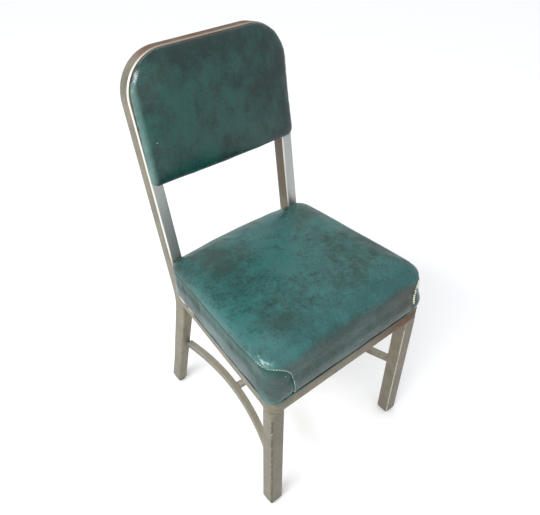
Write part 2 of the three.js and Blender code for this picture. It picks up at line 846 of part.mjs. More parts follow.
function backBoardGeometry(growth) {
  return loft([
    padRing(backBoardSetIn - growth, growth > 0 ? -overrun : weldGap, 6, 1),
    padRing(backBoardSetIn - growth, weldGap + backBoardThickness + growth, 6, 1),
  ]);
}

function addBackPad() {
  const rings = padRingShares.map(([thickShare, inShare]) => (
    padRing(inShare * padCrownRun, weldGap + thickShare * (padThickness - weldGap), 8, 4)
  ));
  addPiece('back_pad', cutBy(loft(rings), [backBoardGeometry(weldGap)]), greenVinyl);
  const holes = backScrewPlaces().map((place) => screwHole(place, backScrewRadius, weldGap));
  addPiece('back_board', cutBy(backBoardGeometry(0), holes), greenVinyl);
  for (const place of backScrewPlaces()) {
    placeScrew(
      `back_screw_${place.name}`,
      place,
      backScrewRadius,
      backScrewHeadRadius,
      backScrewHeadHeight,
    );
  }
}

addBackFrame();
addFrontLegs();
addRearGlides();
addFrontRail();
addSideRails();
addRearRail();
addSideStretchers();
addCrossStretcher();
addBracketsAndSeatScrews();
addSeatBoard();
addCushion();
addWelt();
addBackPad();

// The origin is on the floor under the middle of the chair's bounding box.
const extent = new THREE.Box3().setFromObject(chair);
chair.position.y = -(extent.min.y + extent.max.y) / 2;

export default chair;
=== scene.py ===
import math

import bmesh
import bpy
import numpy as np
from mathutils import Matrix, Vector, noise
from mathutils.bvhtree import BVHTree


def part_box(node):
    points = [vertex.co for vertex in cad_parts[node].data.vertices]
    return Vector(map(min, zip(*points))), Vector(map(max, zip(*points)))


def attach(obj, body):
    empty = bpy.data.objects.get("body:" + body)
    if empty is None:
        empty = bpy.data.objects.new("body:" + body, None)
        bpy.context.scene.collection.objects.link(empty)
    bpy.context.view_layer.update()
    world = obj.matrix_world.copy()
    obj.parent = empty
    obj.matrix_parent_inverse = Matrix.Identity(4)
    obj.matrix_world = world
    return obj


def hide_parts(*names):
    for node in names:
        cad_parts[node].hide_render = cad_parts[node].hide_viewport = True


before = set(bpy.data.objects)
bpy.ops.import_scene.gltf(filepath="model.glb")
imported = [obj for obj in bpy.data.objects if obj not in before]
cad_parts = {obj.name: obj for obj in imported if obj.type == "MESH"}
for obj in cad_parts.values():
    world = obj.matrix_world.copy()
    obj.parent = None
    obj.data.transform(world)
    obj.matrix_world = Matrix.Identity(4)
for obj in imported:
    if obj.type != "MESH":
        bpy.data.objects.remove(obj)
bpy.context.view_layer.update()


# Camera, at the eye point and angles of the photograph: high on the chair's left
# front, looking down at the seat. Lens and shift are for a 540 by 515 frame.
eye = Vector((-0.5998, -0.7129, 1.2611))
eye_yaw, eye_pitch, eye_roll = (math.radians(a) for a in (-39.361, 40.336, 0.106))
camera = bpy.data.objects.new("camera", bpy.data.cameras.new("camera"))
camera.data.lens = 37.316
camera.data.shift_x = -0.00128
camera.data.shift_y = 0.00083
camera.matrix_world = (
    Matrix.Translation(eye)
    @ Matrix.Rotation(eye_yaw, 4, "Z")
    @ Matrix.Rotation(math.radians(90) - eye_pitch, 4, "X")
    @ Matrix.Rotation(eye_roll, 4, "Z")
)
bpy.context.collection.objects.link(camera)
bpy.context.scene.camera = camera


# Studio: a floor of matt white paper that runs out of view under a pale even sky. Light comes
# from the chair's left, so the faces turned that way are the lightest.
def linear(hex_colour):
    parts = (int(hex_colour[i:i + 2], 16) / 255 for i in (1, 3, 5))
    return [c / 12.92 if c <= 0.04045 else ((c + 0.055) / 1.055) ** 2.4 for c in parts] + [1.0]


def add_node(tree, kind, inputs=None, **settings):
    """A shader node. inputs maps its live sockets, by name or number, to a value or to what feeds
    them: a socket, or a node, which gives its first live output."""
    node = tree.nodes.new("ShaderNode" + kind)
    for name, value in settings.items():
        setattr(node, name, value)
    live = [socket for socket in node.inputs if socket.enabled]
    for name, value in (inputs or {}).items():
        socket = live[name] if isinstance(name, int) else next(s for s in live if s.name == name)
        if isinstance(value, bpy.types.Node):
            value = next(s for s in value.outputs if s.enabled)
        if isinstance(value, bpy.types.NodeSocket):
            tree.links.new(value, socket)
        else:
            socket.default_value = value
    return node


def new_material(name):
    material = bpy.data.materials.new(name)
    material.use_nodes = True
    material.node_tree.nodes.clear()
    return material, material.node_tree


bpy.context.scene.view_settings.view_transform = "Standard"

floor_mesh = bpy.data.meshes.new("floor")
bm = bmesh.new()
bmesh.ops.create_grid(bm, x_segments=1, y_segments=1, size=6.0)
bm.to_mesh(floor_mesh)
bm.free()
floor = bpy.data.objects.new("floor", floor_mesh)
bpy.context.collection.objects.link(floor)
floor_paper, tree = new_material("matt_white_paper")
shader = add_node(tree, "BsdfPrincipled", {"Base Color": linear("#fdfdfd"), "Roughness": 0.9})
add_node(tree, "OutputMaterial", {"Surface": shader})
floor_mesh.materials.append(floor_paper)

sky = bpy.data.worlds.new("sky")
sky.use_nodes = True
sky.node_tree.nodes["Background"].inputs["Color"].default_value = linear("#fafcff")
sky.node_tree.nodes["Background"].inputs["Strength"].default_value = 0.98
bpy.context.scene.world = sky

# A large dim window, and in it a low wide pane whose bright image shows in the cloth's gloss.
light_target = Vector((0, 0, 0.5))
for name, place, width, height, power in (
    ("window", (-2.5, 0.2, 1.6), 2.0, 2.0, 13),
    ("pane", (-1.85, -0.35, 2.1), 1.9, 0.5, 44),
):
    light = bpy.data.objects.new(name, bpy.data.lights.new(name, "AREA"))
    light.data.shape = "RECTANGLE"
    light.data.size = width
    light.data.size_y = height
    light.data.energy = power
    light.data.color = (0.93, 0.97, 1.0)
    light.location = place
    light.rotation_mode = "QUATERNION"
    light.rotation_quaternion = (light_target - light.location).to_track_quat("-Z", "Y")
    bpy.context.collection.objects.link(light)


# Back frame: one aluminium tube of flattened section, bent over the top of the back and again
# behind the seat, down to the rear feet. Satin, clear lacquered, and aged to a warm grey with
# rust-brown specks. The lacquer makes it duller and more even than bare metal.
mm = 0.001
hoop_corner, hoop_half_width = 86.8 * mm, 188.6 * mm
tube_width, tube_depth, tube_edge = 27.1 * mm, 33.5 * mm, 3.5 * mm
# Half width over the tubes, tube width and tube depth, at the floor, the bend and the bow.
floor_sizes = (188.3 * mm, 22.6 * mm, 30 * mm)
bend_sizes = (178.4 * mm, tube_width, 36.9 * mm)
bow_sizes = (190.5 * mm, tube_width, tube_depth)
foot_flare, flare_height = 2.5 * mm, 80 * mm
# The tube is cut level at foot_top. Below it is the rubber foot.
foot_top = 14 * mm
# The front legs' outer and inner faces from the middle plane, and their front face before it.
leg_outer, leg_inner, front_reach = 210 * mm, 178 * mm, 242.39 * mm
rail_underside = 345 * mm
back_lean, leg_splay = math.radians(10.56), math.radians(11.77)
bend_height, bend_radius, bend_behind = 339.9 * mm, 248.5 * mm, 355.6 * mm - front_reach
hoop_height, leg_length = 894.6 * mm, 310 * mm
rise = hoop_height - bend_height
hoop_top = Vector((0, bend_behind + rise * math.tan(back_lean), hoop_height))
bend_angle = back_lean + leg_splay
bend_length = bend_radius * bend_angle
upright_length = rise / math.cos(back_lean) - bend_radius * math.tan(bend_angle / 2)


def clamp(value, low=0, high=1):
    return min(max(value, low), high)


def aged_aluminium():
    material, tree = new_material("aged_satin_aluminium")
    place = add_node(tree, "TexCoord").outputs["Object"]
    axes = add_node(tree, "SeparateXYZ", {"Vector": place})
    mottle = add_node(tree, "TexNoise", {
        "Vector": place, "Scale": 1 / (40 * mm), "Detail": 8.0, "Roughness": 0.72})
    grit = add_node(tree, "TexNoise", {
        "Vector": place, "Scale": 1 / (3 * mm), "Detail": 3.0, "Roughness": 0.7})
    patches = add_node(tree, "MapRange", {"Value": mottle, "From Min": 0.32, "From Max": 0.68})
    tone = add_node(tree, "Mix", {
        "Factor": patches, "A": linear("#625d4f"), "B": linear("#837b69")}, data_type="RGBA")

    # Brown bloom along the top of the bow and on the front rail's right end.
    bow = add_node(tree, "MapRange", {
        "Value": axes.outputs["Z"], "From Min": 0.872, "From Max": 0.889})
    right = add_node(tree, "MapRange", {
        "Value": axes.outputs["X"], "From Min": 0.02, "From Max": 0.14})
    front = add_node(tree, "MapRange", {
        "Value": axes.outputs["Y"], "From Min": -0.222, "From Max": -0.238})
    low = add_node(tree, "MapRange", {
        "Value": axes.outputs["Z"], "From Min": rail_underside - mm,
        "From Max": rail_underside + mm})
    rail = add_node(tree, "Math", {0: right, 1: front}, operation="MULTIPLY")
    rail = add_node(tree, "Math", {0: rail, 1: low}, operation="MULTIPLY")
    bloom = add_node(tree, "Math", {0: bow, 1: rail}, operation="MAXIMUM")
    uneven = add_node(tree, "MapRange", {
        "Value": mottle, "From Min": 0.3, "From Max": 0.6, "To Min": 0.4, "To Max": 0.9})
    bloom = add_node(tree, "Math", {0: bloom, 1: uneven}, operation="MULTIPLY")

    # Specks where the lacquer has let go: 2 to 3 mm, about 12 mm apart, and fine grit between.
    pits = add_node(tree, "TexVoronoi", {"Vector": place, "Scale": 1 / (12 * mm)})
    pit = add_node(tree, "MapRange", {
        "Value": pits.outputs["Distance"], "From Min": 0.15, "From Max": 0.07})
    rare = add_node(tree, "MapRange", {
        "Value": pits.outputs["Color"], "From Min": 0.45, "From Max": 0.6})
    pit = add_node(tree, "Math", {0: pit, 1: rare}, operation="MULTIPLY")
    dust = add_node(tree, "MapRange", {
        "Value": grit, "From Min": 0.56, "From Max": 0.68, "To Max": 0.65})
    speck = add_node(tree, "Math", {0: pit, 1: dust}, operation="MAXIMUM")
    for mask, colour in ((bloom, "#5e3d29"), (speck, "#54493b")):
        tone = add_node(tree, "Mix", {
            "Factor": mask, "A": tone, "B": linear(colour)}, data_type="RGBA")

    # The left front leg's outer corner is worn through to brown, with pale chips. The right
    # one's inner corner has a pale line of painted highlight.
    plan = add_node(tree, "VectorMath", {0: place, 1: (1, 1, 0)}, operation="MULTIPLY")
    ragged = add_node(tree, "TexNoise", {
        "Vector": place, "Scale": 1 / (14 * mm), "Detail": 4.0, "Roughness": 0.7})
    below = add_node(tree, "MapRange", {
        "Value": axes.outputs["Z"], "From Min": rail_underside,
        "From Max": rail_underside - 20 * mm})
    for corner, reach, colour, shares in (
        ((-leg_outer, -front_reach, 0), 4.5 * mm, "#4f4334", (0.38, 0.52)),
        ((-leg_outer, -front_reach, 0), 3.0 * mm, "#d8d2c0", (0.62, 0.66)),
        ((leg_inner, -front_reach, 0), 2.6 * mm, "#b9b3a3", (0.3, 0.5)),
    ):
        gap = add_node(tree, "VectorMath", {0: plan, 1: corner}, operation="DISTANCE")
        near = add_node(tree, "MapRange", {"Value": gap, "From Min": reach, "From Max": reach / 2})
        torn = add_node(tree, "MapRange", {
            "Value": ragged, "From Min": shares[0], "From Max": shares[1]})
        wear_and_highlight = add_node(tree, "Math", {0: near, 1: torn}, operation="MULTIPLY")
        wear_and_highlight = add_node(tree, "Math", {0: wear_and_highlight, 1: below}, operation="MULTIPLY")
        tone = add_node(tree, "Mix", {
            "Factor": wear_and_highlight, "A": tone, "B": linear(colour)}, data_type="RGBA")

    # Marks kept on the mesh: front faces painted lighter grey and more metallic as a painted
    # reflection, painted shade on the uprights' inner faces, and painted highlights on tube
    # corners.
    rubbed_and_reflection = add_node(tree, "Attribute", attribute_name="rubbed_and_reflection").outputs["Fac"]
    grime_and_shade = add_node(tree, "Attribute", attribute_name="grime_and_shade").outputs["Fac"]
    painted_light = add_node(tree, "Attribute", attribute_name="painted_light").outputs["Fac"]
    for mask, colour in ((rubbed_and_reflection, "#a9aba8"), (grime_and_shade, "#4d3d2e"), (painted_light, "#dedad0")):
        tone = add_node(tree, "Mix", {
            "Factor": mask, "A": tone, "B": linear(colour)}, data_type="RGBA")
    metal = add_node(tree, "MapRange", {"Value": rubbed_and_reflection, "To Min": 0.4, "To Max": 0.75})
    metal = add_node(tree, "Math", {0: metal, 1: bloom}, operation="SUBTRACT", use_clamp=True)
    gloss = add_node(tree, "MapRange", {"Value": mottle, "To Min": 0.38, "To Max": 0.56})
    gloss = add_node(tree, "Math", {0: rubbed_and_reflection, 1: -0.15, 2: gloss}, operation="MULTIPLY_ADD")
    gloss = add_node(tree, "Math", {0: bloom, 1: 0.3, 2: gloss}, operation="MULTIPLY_ADD")
    sheen = add_node(tree, "MapRange", {"Value": bloom, "To Min": 0.5, "To Max": 0.1})
    bump = add_node(tree, "Bump", {"Height": grit, "Strength": 0.4, "Distance": 0.3 * mm})
    shader = add_node(tree, "BsdfPrincipled", {
        "Base Color": tone, "Metallic": metal, "Roughness": gloss, "Normal": bump,
        "Specular IOR Level": sheen})
    add_node(tree, "OutputMaterial", {"Surface": shader})
    return material


aluminium = aged_aluminium()


def on_frame(across, drop, behind):
    """A point of the straight tube, laid on the bent line of the back and rear legs."""
    arc = clamp(drop - upright_length, high=bend_length)
    heading = -back_lean + arc / bend_radius
    upright, leg = min(drop, upright_length), max(drop - upright_length - bend_length, 0)
    y = (hoop_top.y - math.sin(back_lean) * upright + math.sin(leg_splay) * leg
         + bend_radius * (math.cos(back_lean) - math.cos(heading)) + behind * math.cos(heading))
    z = (hoop_top.z - math.cos(back_lean) * upright - math.cos(leg_splay) * leg
         - bend_radius * (math.sin(back_lean) + math.sin(heading)) + behind * math.sin(heading))
    return Vector((across, y, z))


def tube_sizes(height):
    """Half width over the tubes, width and depth of the tube, at a height above the floor."""
    if height > bend_height:
        share = min((height - bend_height) / rise, 1)
        return [low + (high - low) * share for low, high in zip(bend_sizes, bow_sizes)]
    share = max(height / bend_height, 0)
    half_width, width, depth = (
        low + (high - low) * share for low, high in zip(floor_sizes, bend_sizes))
    flare = foot_flare * max(1 - height / flare_height, 0)
    return half_width + flare / 2, width + flare, depth + flare


def smooth_by_angle(mesh, degrees=38):
    for polygon in mesh.polygons:
        polygon.use_smooth = True
    mesh.set_sharp_from_angle(angle=math.radians(degrees))


def set_attribute(mesh, name, values):
    attribute = mesh.attributes.new(name, "FLOAT", "POINT")
    attribute.data.foreach_set("value", np.asarray(values, dtype=np.float32))


def paint_corner_highlights(mesh, share, floor_level):
    """Paints a highlight on a tube's rounded corners above a level, most facing left and front."""
    fade, corner_face = 30 * mm, 4 * mm
    corner = np.array([share * clamp((v.co.z - floor_level) / fade) for v in mesh.vertices])
    for polygon in mesh.polygons:
        ends = [mesh.vertices[i].co for i in polygon.vertices]
        longest = max((a - b).length for a, b in zip(ends, ends[1:] + ends[:1]))
        if polygon.area > corner_face * longest:
            corner[list(polygon.vertices)] = 0
    facing = np.array([v.normal.dot(Vector((-0.7, -0.7, 0.15))) for v in mesh.vertices])
    set_attribute(mesh, "painted_light", corner * (0.2 + 0.75 * np.clip((facing - 0.6) / 0.3, 0, 1)))


def finish_piece(name, bm, material, slot, *nodes):
    """Links a built mesh as a piece that rides on the chair and stands for CAD nodes."""
    mesh = bpy.data.meshes.new(name)
    bm.to_mesh(mesh)
    bm.free()
    mesh.materials.append(material)
    piece = bpy.data.objects.new(name, mesh)
    bpy.context.collection.objects.link(piece)
    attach(piece, "root")
    if nodes:
        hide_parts(*nodes)
    return piece


# The tube is drawn straight and flat first: X across, Y behind the front face, Z up from the
# bow's top edge. Then it is tapered and laid on the bent line.
bm = bmesh.new()
section = [bm.verts.new((0, y, z)) for y, z in
           ((0, 0), (tube_depth, 0), (tube_depth, -tube_width), (0, -tube_width))]
bm.faces.new(section)
bmesh.ops.bevel(bm, geom=bm.verts[:], offset=tube_edge, segments=4, profile=0.5, affect="VERTICES",
                material=-1, offset_type="OFFSET")
ring = bm.edges[:]
bmesh.ops.delete(bm, geom=bm.faces[:], context="FACES_ONLY")
corner_centre = Vector((hoop_half_width - hoop_corner, 0, -hoop_corner))
# Half the bow, its corner, the upright, the bend and the leg, which is cut to length below.
for steps, turn, run in (
    (6, 0, (corner_centre.x, 0, 0)),
    (24, math.radians(90), None),
    (8, 0, (0, 0, hoop_corner - upright_length)),
    (14, 0, (0, 0, -bend_length)),
    (6, 0, (0, 0, -leg_length)),
):
    made = bmesh.ops.spin(
        bm, geom=ring, cent=corner_centre, axis=(0, 1, 0), angle=turn, steps=steps,
        dvec=[c / steps for c in run] if run else (0, 0, 0), use_duplicate=False)
    ring = [e for e in made["geom_last"] if isinstance(e, bmesh.types.BMEdge)]
bmesh.ops.mirror(bm, geom=bm.verts[:] + bm.edges[:] + bm.faces[:], axis="X", merge_dist=1e-5)
for v in bm.verts:
    drop, behind = -v.co.z, v.co.y
    if drop <= hoop_corner:
        v.co = on_frame(v.co.x, drop, behind)
        continue
    half_width, width, depth = tube_sizes(on_frame(0, drop, 0).z)
    inset = (hoop_half_width - abs(v.co.x)) * width / tube_width
    v.co = on_frame(math.copysign(half_width - inset, v.co.x), drop, behind * depth / tube_depth)
bmesh.ops.bisect_plane(bm, geom=bm.verts[:] + bm.edges[:] + bm.faces[:], dist=1e-6,
                       plane_co=(0, 0, foot_top), plane_no=(0, 0, -1), clear_outer=True)
bmesh.ops.holes_fill(bm, edges=[e for e in bm.edges if e.is_boundary])
bmesh.ops.recalc_face_normals(bm, faces=bm.faces[:])
back_frame = finish_piece("back_frame_tube", bm, aluminium, "frame_metal", "back_frame")
smooth_by_angle(back_frame.data)
# From the seat up the posts' front faces get a painted reflection, their inner faces painted shade.
seat_level, rubbed_to, grimy_to = 470 * mm, 750 * mm, 700 * mm
paint_corner_highlights(back_frame.data, 1.0, seat_level - 20 * mm)
face_forward = Vector((0, -math.cos(back_lean), math.sin(back_lean)))
rubbed_and_reflection, grime_and_shade = [], []
for v in back_frame.data.vertices:
    above = clamp((v.co.z - seat_level) / (20 * mm))
    forward = clamp((v.normal.dot(face_forward) - 0.75) / 0.2)
    inner = v.normal.x * v.co.x < -0.9 * abs(v.co.x)
    rubbed_and_reflection.append(above * forward * (v.co.z < rubbed_to))
    grime_and_shade.append(0.75 * above * inner * (v.co.z < grimy_to))
set_attribute(back_frame.data, "rubbed_and_reflection", rubbed_and_reflection)
set_attribute(back_frame.data, "grime_and_shade", grime_and_shade)


# Front legs and front rail: square tube, welded at the corners and dressed flush, so no
# line shows where a leg meets the rail. The bowed stretchers are smaller square tube.
def merged_copy(node):
    bm = bmesh.new()
    bm.from_mesh(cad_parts[node].data)
    bmesh.ops.remove_doubles(bm, verts=bm.verts[:], dist=1e-5)
    bmesh.ops.dissolve_limit(bm, angle_limit=math.radians(1), verts=bm.verts[:], edges=bm.edges[:])
    return bm


leg_rear = 32 * mm - front_reach
rail_edge, rail_corner, tight_corner = 2 * mm, 18 * mm, 5 * mm
# The rail's returned ends run in by 82 mm to the metre.
rail_taper = 0.0819


def dress(nodes, material):
    """Gives CAD nodes that keep their own shape a material."""
    for node in nodes:
        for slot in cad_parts[node].material_slots:
            slot.material = material


def tighten_corner(co):
    """Draws the right front corner's arc out to a tighter one, as it was dressed by hand."""
    across, along = co.x - (leg_outer - rail_corner), -co.y - (front_reach - rail_corner)
    inset = rail_corner - math.hypot(across, along)
    if across > 1e-5 and along > 1e-5 and inset < 4 * mm:
        turn = math.atan2(along, across)
        co.x = leg_outer - tight_corner + (tight_corner - inset) * math.cos(turn)
        co.y = -(front_reach - tight_corner + (tight_corner - inset) * math.sin(turn))


for node in ("front_left_leg", "front_right_leg", "front_rail",
             "left_side_stretcher", "right_side_stretcher", "cross_stretcher"):
    bm = merged_copy(node)
    if node.endswith("leg"):
        # The leg's top is dressed to the rail, whose ends taper in towards the rear.
        for v in bm.verts:
            if v.co.z > rail_underside - mm:
                if node == "front_right_leg":
                    tighten_corner(v.co)
                outward = clamp((abs(v.co.x) - leg_outer) / (10 * mm) + 1)
                taper = (v.co.y + front_reach) * rail_taper * outward
                v.co.x -= math.copysign(taper, v.co.x)
    if node == "front_rail":
        # Over the legs the rail's lower edge isn't rounded, because the weld fills it. Its points
        # go out to the nearest ones of the full section, just above the rounding.
        for spot, normal in (((leg_inner, 0, 0), (1, 0, 0)), ((-leg_inner, 0, 0), (1, 0, 0)),
                             ((0, leg_rear, 0), (0, 1, 0))):
            bmesh.ops.bisect_plane(bm, geom=bm.verts[:] + bm.edges[:] + bm.faces[:], dist=1e-6,
                                   plane_co=spot, plane_no=normal)
        full = [v.co.copy() for v in bm.verts if abs(v.co.z - rail_underside - rail_edge) < 1e-4]
        for v in bm.verts:
            over_leg = abs(v.co.x) > leg_inner - 1e-5 and v.co.y < leg_rear + 1e-5
            if v.co.z < rail_underside + 1e-4 and over_leg:
                near = min(full, key=lambda co: (co - v.co).length)
                if (near - v.co).length < 2 * rail_edge:
                    v.co.x, v.co.y = near.x, near.y
            tighten_corner(v.co)
    dressed = finish_piece(node + "_tube", bm, aluminium, "frame_metal", node)
    smooth_by_angle(dressed.data)
    if node.endswith("leg"):
        # The legs' front faces get painted shade, the left one more.
        share = 0.3 if node == "front_left_leg" else 0.2
        set_attribute(dressed.data, "grime_and_shade",
                      [share * (v.normal.y < -0.7) for v in dressed.data.vertices])
    # Painted highlight on the right leg's corners.
    if node == "front_right_leg":
        paint_corner_highlights(dressed.data, 0.75, -30 * mm)
    if "stretcher" in node:
        # Painted light: the stretchers' upper faces are painted lighter.
        set_attribute(dressed.data, "painted_light",
                      [0.22 * clamp((v.normal.z - 0.3) / 0.3) for v in dressed.data.vertices])

dress(("left_side_rail", "right_side_rail", "rear_rail", "front_left_bracket",
       "front_right_bracket", "rear_left_bracket", "rear_right_bracket"), aluminium)


# Feet: hard brown rubber glides, moulded, pushed into the tube ends and worn smooth, so they
# look dark, dull and scuffed. Under each rear tube the foot is a shallow dome as wide as it.
rubber, tree = new_material("worn_brown_rubber")
place = add_node(tree, "TexCoord").outputs["Object"]
scuffs = add_node(tree, "TexNoise", {
    "Vector": place, "Scale": 1 / (4 * mm), "Detail": 4.0, "Roughness": 0.7})
tone = add_node(tree, "Mix", {
    "Factor": scuffs, "A": linear("#2c2621"), "B": linear("#5a4f44")}, data_type="RGBA")
bump = add_node(tree, "Bump", {"Height": scuffs, "Strength": 0.4, "Distance": 0.4 * mm})
shader = add_node(tree, "BsdfPrincipled", {"Base Color": tone, "Roughness": 0.7, "Normal": bump})
add_node(tree, "OutputMaterial", {"Surface": shader})
dress(("front_left_glide", "front_right_glide"), rubber)
# The dome's width at its base and at the floor, as shares of the CAD foot's.
dome_base, dome_floor = 1.02, 0.6
for side in ("left", "right"):
    low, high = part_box(f"rear_{side}_glide")
    bm = bmesh.new()
    for step in range(7):
        turn = math.radians(15 * step)
        share = dome_base - (dome_base - dome_floor) * (1 - math.cos(turn))
        for v in bmesh.ops.create_circle(bm, segments=32, radius=0.5)["verts"]:
            # A rounded square in plan: a circle cut off at its four sides.
            x, y = (clamp(c, -0.4, 0.4) / 0.8 * share for c in (v.co.x, v.co.y))
            v.co = ((low.x + high.x) / 2 + x * (high.x - low.x),
                    (low.y + high.y) / 2 + y * (high.y - low.y), foot_top * (1 - math.sin(turn)))
    bmesh.ops.bridge_loops(bm, edges=bm.edges[:])
    bmesh.ops.holes_fill(bm, edges=[e for e in bm.edges if e.is_boundary])
    bmesh.ops.recalc_face_normals(bm, faces=bm.faces[:])
    node = f"rear_{side}_glide"
    glide = finish_piece(node + "_dome", bm, rubber, "glide_rubber", node)
    smooth_by_angle(glide.data)


# Green leathercloth, a vinyl skin on cotton backing: satin, with a fine pressed grain. Years of
# dark grey soiling sit in the grain, less where it has been rubbed clean.
def leathercloth(name, ground, soil, soil_level=0.0, clean_spot=(0, 0, 0), shiny_spot=(0, 0, 0),
                 stretch=(1, 1, 1), wear_and_light=None):
    """The cloth of one piece. At a spot of 0, 0, 0 nothing is rubbed clean or polished, as no
    cloth lies there. wear_and_light adds the piece's own wear and painted light to the colour and
    the sheen."""
    material, tree = new_material(name)
    place = add_node(tree, "TexCoord").outputs["Object"]
    spread = add_node(tree, "Mapping", {"Vector": place, "Scale": stretch})
    clouds = add_node(tree, "TexNoise", {
        "Vector": spread, "Scale": 1 / (130 * mm), "Detail": 2.0, "Roughness": 0.5})
    smudges = add_node(tree, "TexNoise", {
        "Vector": spread, "Scale": 1 / (28 * mm), "Detail": 6.0, "Roughness": 0.65})
    flecks = add_node(tree, "TexNoise", {
        "Vector": place, "Scale": 1 / (5 * mm), "Detail": 5.0, "Roughness": 0.75})
    amount = add_node(tree, "Math", {0: flecks, 1: 0.45}, operation="MULTIPLY")
    for part, weight in ((smudges, 0.7), (clouds, 0.8)):
        amount = add_node(tree, "Math", {0: part, 1: weight, 2: amount}, operation="MULTIPLY_ADD")
    rubbed_and_reflection = add_node(tree, "VectorMath", {0: place, 1: clean_spot}, operation="DISTANCE")
    clean = add_node(tree, "MapRange", {
        "Value": rubbed_and_reflection, "From Min": 0.03, "From Max": 0.15, "To Min": 0.12, "To Max": 0.0})
    amount = add_node(tree, "Math", {0: amount, 1: clean}, operation="ADD")
    dirty = add_node(tree, "MapRange", {
        "Value": amount, "From Min": 1.12 + soil_level, "From Max": 0.86 + soil_level})
    colour = add_node(tree, "Mix", {
        "Factor": dirty, "A": linear(ground), "B": linear(soil)}, data_type="RGBA")
    # Flecks, 3 to 6 mm, are thick where the cloth is dirty and thin where it is clean.
    fleck = add_node(tree, "MapRange", {"Value": flecks, "From Min": 0.48, "From Max": 0.4})
    thick = add_node(tree, "MapRange", {"Value": dirty, "To Min": 0.2, "To Max": 0.75})
    fleck = add_node(tree, "Math", {0: fleck, 1: thick}, operation="MULTIPLY")
    # Brown grime in patches of 60 mm.
    grime_and_shade = add_node(tree, "TexNoise", {
        "Vector": spread, "Scale": 1 / (60 * mm), "Detail": 5.0, "Roughness": 0.7})
    grime_and_shade = add_node(tree, "MapRange", {
        "Value": grime_and_shade, "From Min": 0.52, "From Max": 0.7, "To Max": 0.3})
    for mask, tint in ((fleck, "#1a312d"), (grime_and_shade, "#33443e")):
        colour = add_node(tree, "Mix", {
            "Factor": mask, "A": colour, "B": linear(tint)}, data_type="RGBA")

    grain = add_node(tree, "TexVoronoi", {"Vector": place, "Scale": 1 / (1.6 * mm)})
    height = add_node(tree, "Math", {0: flecks, 1: 0.8, 2: grain}, operation="MULTIPLY_ADD")
    bump = add_node(tree, "Bump", {"Height": height, "Strength": 0.2, "Distance": 0.3 * mm})
    gloss = add_node(tree, "MapRange", {
        "Value": smudges, "From Min": 0.3, "From Max": 0.7, "To Min": 0.22, "To Max": 0.4})
    sheen = add_node(tree, "MapRange", {"Value": dirty, "To Min": 0.55, "To Max": 0.35})
    if wear_and_light:
        colour, sheen = wear_and_light(tree, place, smudges, colour, sheen)
    # Hands have polished one corner within 60 mm.
    polished = add_node(tree, "VectorMath", {0: place, 1: shiny_spot}, operation="DISTANCE")
    polished = add_node(tree, "MapRange", {"Value": polished, "From Min": 0.05, "From Max": 0.02})
    sheen = add_node(tree, "Math", {0: polished, 1: 0.25, 2: sheen}, operation="MULTIPLY_ADD")
    gloss = add_node(tree, "Math", {0: polished, 1: -0.1, 2: gloss}, operation="MULTIPLY_ADD")
    # Pale dots of lint, 2 mm, a hand's width apart.
    dots = add_node(tree, "TexVoronoi", {"Vector": place, "Scale": 1 / (34 * mm)})
    dot = add_node(tree, "MapRange", {
        "Value": dots.outputs["Distance"], "From Min": 0.032, "From Max": 0.02})
    rare = add_node(tree, "MapRange", {
        "Value": dots.outputs["Color"], "From Min": 0.62, "From Max": 0.63})
    dot = add_node(tree, "Math", {0: dot, 1: rare}, operation="MULTIPLY")
    colour = add_node(tree, "Mix", {
        "Factor": dot, "A": colour, "B": linear("#a9bcb4")}, data_type="RGBA")
    shader = add_node(tree, "BsdfPrincipled", {
        "Base Color": colour, "Roughness": gloss, "IOR": 1.45, "Normal": bump,
        "Specular IOR Level": sheen})
    add_node(tree, "OutputMaterial", {"Surface": shader})
    return material


def swollen_copy(name, node, voxel, pressure, cap, pinned):
    """The node's solid as a padded cover: remeshed, swelled by cloth pressure in 20 steps, and
    moved no further than the cap. pinned says which points are held."""
    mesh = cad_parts[node].data.copy()
    bm = bmesh.new()
    bm.from_mesh(mesh)
    bmesh.ops.remove_doubles(bm, verts=bm.verts[:], dist=1e-5)
    bm.to_mesh(mesh)
    bm.free()
    piece = bpy.data.objects.new(name, mesh)
    bpy.context.collection.objects.link(piece)
    remesh = piece.modifiers.new("remesh", "REMESH")
    remesh.mode = "VOXEL"
    remesh.voxel_size = voxel
    bpy.context.view_layer.update()
    piece.data = bpy.data.meshes.new_from_object(
        piece.evaluated_get(bpy.context.evaluated_depsgraph_get()))
    piece.modifiers.clear()
    rest = np.array([v.co for v in piece.data.vertices])
    held = piece.vertex_groups.new(name="held")
    held.add([i for i, co in enumerate(rest) if pinned(co)], 1.0, "REPLACE")
    cloth = piece.modifiers.new("cloth", "CLOTH")
    cloth.settings.use_pressure = True
    cloth.settings.uniform_pressure_force = pressure
    cloth.settings.effector_weights.gravity = 0
    cloth.settings.vertex_group_mass = "held"
    cloth.settings.quality = 4
    for step in range(1, 21):
        bpy.context.scene.frame_set(step)
    swelled = piece.evaluated_get(bpy.context.evaluated_depsgraph_get())
    moved = np.array([v.co for v in swelled.data.vertices]) - rest
    length = np.linalg.norm(moved, axis=1, keepdims=True)
    moved *= np.minimum(1.0, cap / np.maximum(length, 1e-9))
    piece.modifiers.clear()
    piece.data.vertices.foreach_set("co", (rest + moved).ravel())
    bpy.context.scene.frame_set(1)
    finer = piece.modifiers.new("finer", "SUBSURF")
    finer.levels = finer.render_levels = 1
    bpy.context.view_layer.update()
    piece.data = bpy.data.meshes.new_from_object(
        piece.evaluated_get(bpy.context.evaluated_depsgraph_get()))
    piece.modifiers.clear()
    for polygon in piece.data.polygons:
        polygon.use_smooth = True
    return piece


